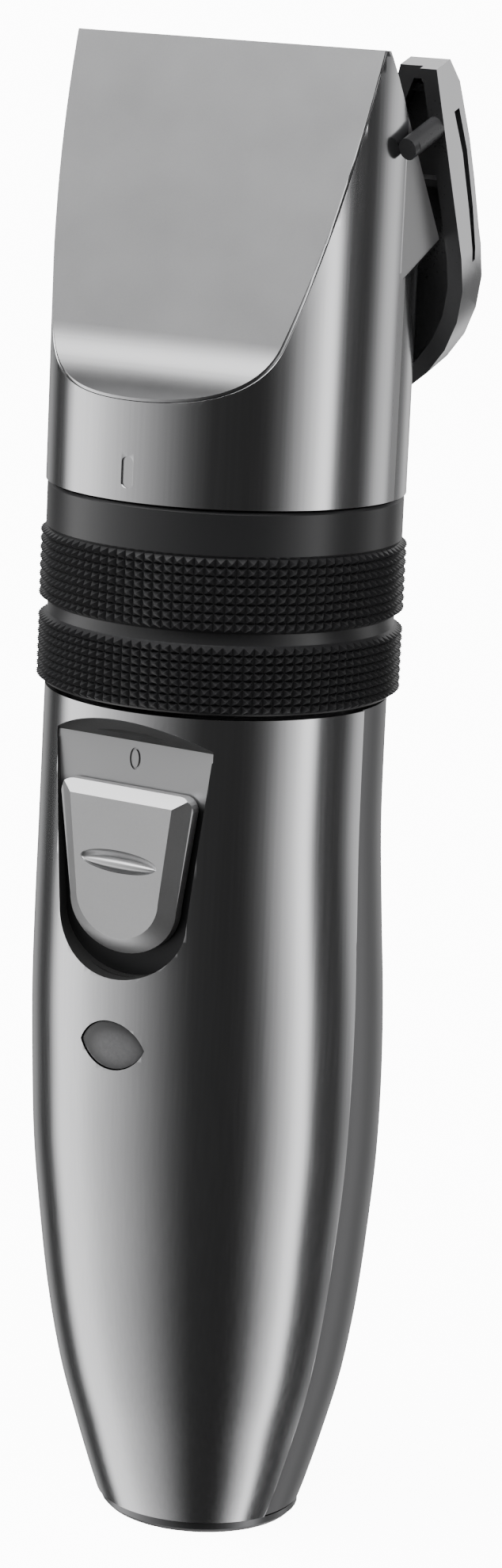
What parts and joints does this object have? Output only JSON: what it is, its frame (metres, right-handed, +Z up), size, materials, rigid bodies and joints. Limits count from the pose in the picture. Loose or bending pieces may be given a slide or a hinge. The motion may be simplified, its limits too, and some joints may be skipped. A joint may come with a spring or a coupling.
{
  "type": "hair clipper",
  "caption": "Cordless hair clipper with a turning taper dial, sliding switch and hinged rear blade unit.",
  "frame": {"origin": "on the flat resting face, where the dial's axis meets it", "axes": "+Z up along the clipper to the blade end, -Y the front with the switch, +X to the right seen from the front"},
  "size_m": [0.0476, 0.0451, 0.1818],
  "materials": {
    "satin_chrome": "satin, fine vertical brushing",
    "dark_chrome": "satin, darker",
    "cover_grey": "fine satin grain",
    "black_plastic": "satin black",
    "inner_plastic": "moulded",
    "steel": "ground",
    "brass": "turned",
    "ceramic_white": "white ceramic",
    "cell_wrap": "shrink wrap",
    "board_green": "solder mask",
    "lens_grey": "frosted",
    "clear_plastic": "clear moulding",
    "led_white": "epoxy"
  },
  "bodies": {
    "body": {"battery_cell": "cell_wrap", "bottom_cap": "dark_chrome", "charging_socket": "black_plastic", "chassis": "inner_plastic", "circuit_board": "board_green", "front_cover": "cover_grey", "front_shell": "satin_chrome", "head_shell": "satin_chrome", "hinge_pin": "steel", "indicator_led": "led_white", "led_lens": "lens_grey", "light_pipe": "clear_plastic", "motor_can": "steel", "motor_plate": "inner_plastic", "motor_screw_1": "steel", "motor_screw_2": "steel", "neck_sleeve": "inner_plastic", "rear_shell": "dark_chrome", "shaft_bush": "brass", "shell_screw_1": "steel", "shell_screw_2": "steel", "switch_contacts": "black_plastic", "yoke_guide": "inner_plastic"},
    "dial": {"dial_ring": "black_plastic", "dial_cam": "inner_plastic"},
    "collar": {"lift_collar": "inner_plastic"},
    "switch": {"switch_button": "satin_chrome", "switch_slider": "inner_plastic"},
    "rotor": {"motor_shaft": "steel", "eccentric_cam": "black_plastic"},
    "yoke": {"drive_yoke": "black_plastic"},
    "blade_unit": {"blade_housing": "satin_chrome", "comb_blade": "steel", "blade_screw_1": "steel", "blade_screw_2": "steel"},
    "cutter_height": {"cutter_guide": "steel"},
    "cutter": {"moving_blade": "ceramic_white", "cutter_carrier": "black_plastic"}
  },
  "joints": [
    {"name": "dial_turn", "type": "hinge", "parent": "body", "child": "dial", "pos_m": [0, 0, 0.1173], "axis": [0, 0, 1], "range_deg": [0, 90]},
    {"name": "collar_lift", "type": "slide", "parent": "body", "child": "collar", "axis": [0, 0, 1], "range_m": [0, 0.0012]},
    {"name": "switch_slide", "type": "slide", "parent": "body", "child": "switch", "axis": [0, 0, 1], "range_m": [0, 0.005]},
    {"name": "rotor_spin", "type": "hinge", "parent": "body", "child": "rotor", "pos_m": [0, 0, 0.1355], "axis": [0, 0, 1], "continuous": true},
    {"name": "yoke_stroke", "type": "slide", "parent": "body", "child": "yoke", "axis": [1, 0, 0], "range_m": [-0.0012, 0.0012]},
    {"name": "unit_hinge", "type": "hinge", "parent": "body", "child": "blade_unit", "pos_m": [0, 0.01002, 0.15583], "axis": [1, 0, 0], "range_deg": [0, 10.5]},
    {"name": "cutter_height", "type": "slide", "parent": "blade_unit", "child": "cutter_height", "axis": [0, -0.3469, 0.9379], "range_m": [0, 0.0012]},
    {"name": "cutter_stroke", "type": "slide", "parent": "cutter_height", "child": "cutter", "axis": [1, 0, 0], "range_m": [-0.0012, 0.0012]}
  ],
  "couplings": [
    {"joint": "collar_lift", "follows": "dial_turn", "m_per_rad": 0.00076394},
    {"joint": "cutter_height", "follows": "dial_turn", "m_per_rad": 0.00076394},
    {"joint": "cutter_stroke", "follows": "yoke_stroke", "ratio": 1}
  ]
}
